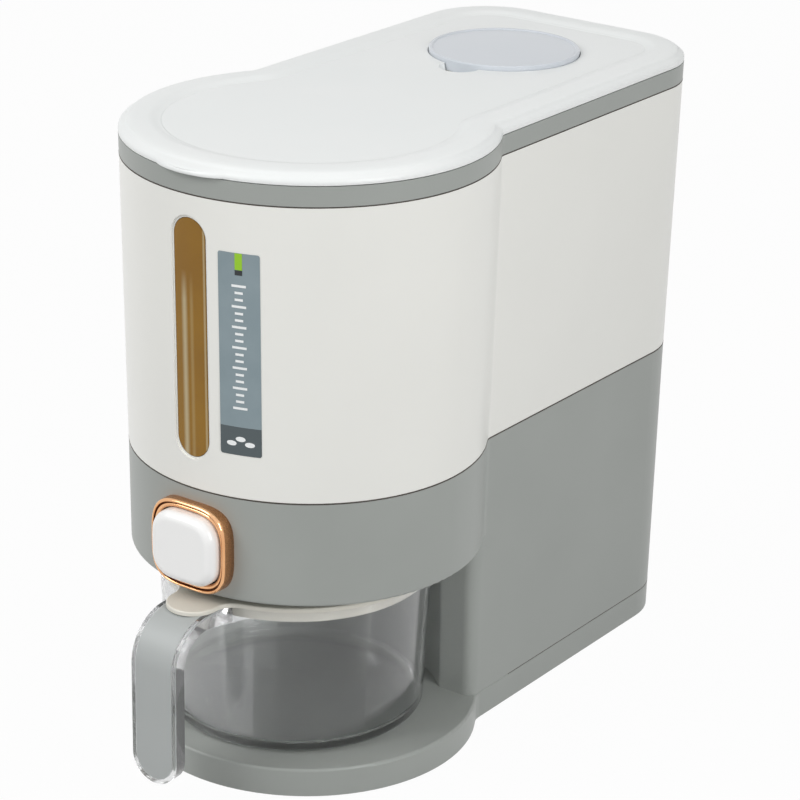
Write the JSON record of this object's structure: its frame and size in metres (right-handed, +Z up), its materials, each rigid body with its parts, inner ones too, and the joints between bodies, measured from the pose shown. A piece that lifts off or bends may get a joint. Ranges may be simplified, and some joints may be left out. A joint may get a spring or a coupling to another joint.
{
  "type": "rice dispenser",
  "caption": "Upright rice keeper: round-fronted hopper with lift-off lid and sight window, push button that opens a gate, and a clear pull-out measuring cup with handle.",
  "frame": {"origin": "on the floor, under the middle of the object's overall box", "axes": "+Z up, -Y towards the cup's handle and the button, +X to the viewer's right from the front"},
  "size_m": [0.1692, 0.3362, 0.2964],
  "materials": {
    "shell_white": "warm white, fine satin gloss",
    "housing_grey": "mid grey with a green cast, satin",
    "cap_grey": "pale blue-grey, slightly milky",
    "window_amber": "amber-brown clear plastic",
    "rose_gold": "rose-gold plated plastic",
    "button_white": "white, soft gloss",
    "clear_plastic": "clear, glossy",
    "inlay_grey": "pale grey, fine matt",
    "lid_cream": "cream, satin",
    "inner_white": "natural white, moulded",
    "seal_clear": "translucent silicone",
    "foot_rubber": "dark soft rubber",
    "screw_steel": "zinc plated",
    "spring_steel": "bright spring wire"
  },
  "bodies": {
    "housing": {"base_plinth": "housing_grey", "rubber_feet": "foot_rubber", "base_screws": "screw_steel", "lower_housing": "housing_grey", "hopper_funnel": "inner_white", "outlet_chute": "inner_white", "gate_guide": "inner_white", "guide_screws": "screw_steel", "button_bezel": "rose_gold", "bezel_retainer": "inner_white", "spring_post": "inner_white", "return_spring": "spring_steel", "upper_shell": "shell_white", "sight_window": "window_amber", "window_gasket": "seal_clear", "rim_band": "housing_grey"},
    "lid": {"lid_shell": "shell_white", "lid_gasket": "seal_clear", "desiccant_box": "inner_white"},
    "desiccant": {"desiccant_cap": "cap_grey", "cap_seal": "seal_clear"},
    "button": {"button_cap": "button_white", "button_stem": "inner_white", "gate_slide": "housing_grey"},
    "cup": {"cup_bowl": "clear_plastic", "handle_inlay": "inlay_grey", "cup_lid": "lid_cream"}
  },
  "joints": [
    {"name": "lid_lift", "type": "slide", "parent": "housing", "child": "lid", "axis": [0, 0, 1], "range_m": [0, 0.06]},
    {"name": "desiccant_lift", "type": "slide", "parent": "lid", "child": "desiccant", "axis": [0, 0, 1], "range_m": [0, 0.04]},
    {"name": "button_press", "type": "slide", "parent": "housing", "child": "button", "axis": [0, 1, 0], "range_m": [0, 0.008], "stiffness_N_per_m": 250, "springref_m": -0.004, "deforming": ["return_spring"]},
    {"name": "cup_slide", "type": "slide", "parent": "housing", "child": "cup", "axis": [0, -1, 0], "range_m": [0, 0.15]}
  ]
}
